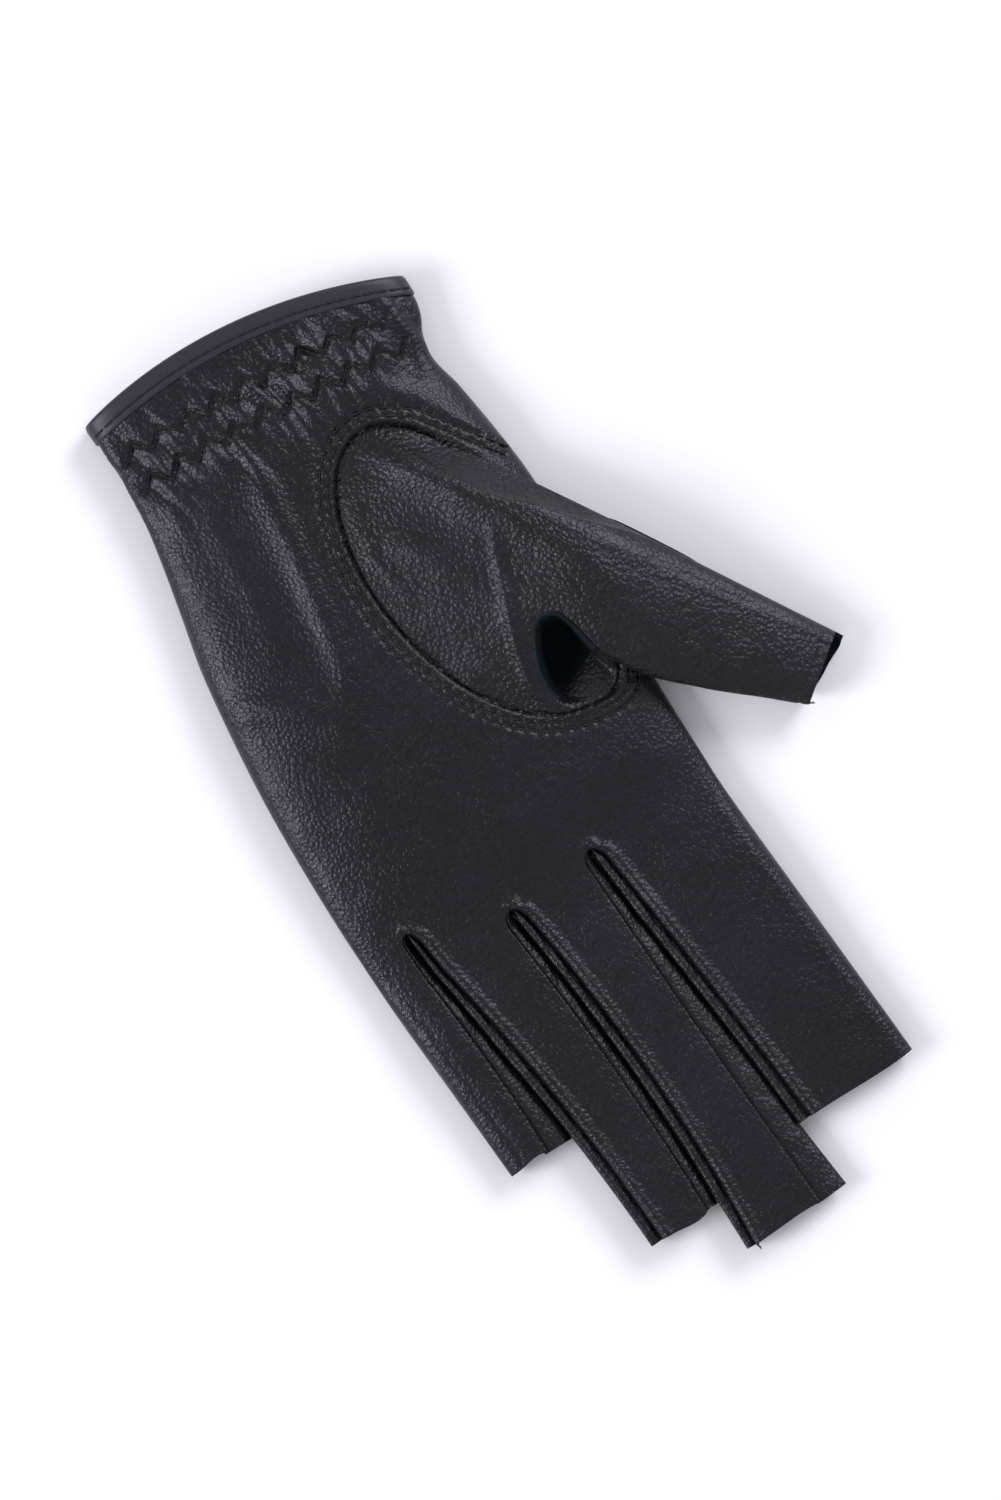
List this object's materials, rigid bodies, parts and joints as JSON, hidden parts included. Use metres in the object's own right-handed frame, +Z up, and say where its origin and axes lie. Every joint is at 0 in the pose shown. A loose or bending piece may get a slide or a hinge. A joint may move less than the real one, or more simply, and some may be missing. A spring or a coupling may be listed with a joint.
{
  "type": "half-finger driving glove",
  "caption": "Left-hand half-finger driving glove in thin black leather, with an elasticated wrist, laid flat with its palm up.",
  "frame": {"origin": "on the flat outside of the back of the hand, under the middle of the palm", "axes": "+Z up, out of the palm; +Y from the fingers to the cuff; +X towards the thumb"},
  "size_m": [0.1093, 0.1992, 0.0172],
  "materials": {
    "glove_leather": "fine-grained black nappa, satin",
    "binding_leather": "smooth charcoal leather, satin",
    "thread": "black twisted polyester",
    "elastic": "black woven elastic, matt"
  },
  "bodies": {
    "hand": {"palm_panel": "glove_leather", "back_panel": "glove_leather", "thumb_gusset": "glove_leather", "thumb_seam_thread_inner": "thread", "thumb_seam_thread_outer": "thread"},
    "cuff": {"cuff_palm_panel": "glove_leather", "cuff_back_panel": "glove_leather", "cuff_binding": "binding_leather", "binding_thread": "thread", "elastic_band_upper": "elastic", "elastic_band_lower": "elastic", "elastic_thread_upper": "thread", "elastic_thread_lower": "thread"},
    "thumb": {"thumb_front": "glove_leather", "thumb_back": "glove_leather"},
    "little_finger": {"little_front": "glove_leather", "little_back": "glove_leather", "little_fourchette_ring_side": "glove_leather"},
    "ring_finger": {"ring_front": "glove_leather", "ring_back": "glove_leather", "ring_fourchette_little_side": "glove_leather", "ring_fourchette_middle_side": "glove_leather"},
    "middle_finger": {"middle_front": "glove_leather", "middle_back": "glove_leather", "middle_fourchette_ring_side": "glove_leather", "middle_fourchette_index_side": "glove_leather"},
    "index_finger": {"index_front": "glove_leather", "index_back": "glove_leather", "index_fourchette_middle_side": "glove_leather"}
  },
  "joints": [
    {"name": "wrist_fold", "type": "hinge", "parent": "hand", "child": "cuff", "pos_m": [0.004, 0.07, 0.0103], "axis": [1, 0, 0], "range_deg": [0, 60]},
    {"name": "thumb_lift", "type": "hinge", "parent": "hand", "child": "thumb", "pos_m": [0.03475, 0.0195, 0.0172], "axis": [-0.2095, -0.9778, 0], "range_deg": [0, 60]},
    {"name": "little_flex", "type": "hinge", "parent": "hand", "child": "little_finger", "pos_m": [-0.035, -0.0295, 0.0072], "axis": [-1, 0, 0], "range_deg": [0, 75]},
    {"name": "ring_flex", "type": "hinge", "parent": "hand", "child": "ring_finger", "pos_m": [-0.0198, -0.0295, 0.0072], "axis": [-1, 0, 0], "range_deg": [0, 75]},
    {"name": "middle_flex", "type": "hinge", "parent": "hand", "child": "middle_finger", "pos_m": [-0.0012, -0.0295, 0.0072], "axis": [-1, 0, 0], "range_deg": [0, 75]},
    {"name": "index_flex", "type": "hinge", "parent": "hand", "child": "index_finger", "pos_m": [0.0229, -0.0295, 0.0072], "axis": [-1, 0, 0], "range_deg": [0, 75]}
  ]
}
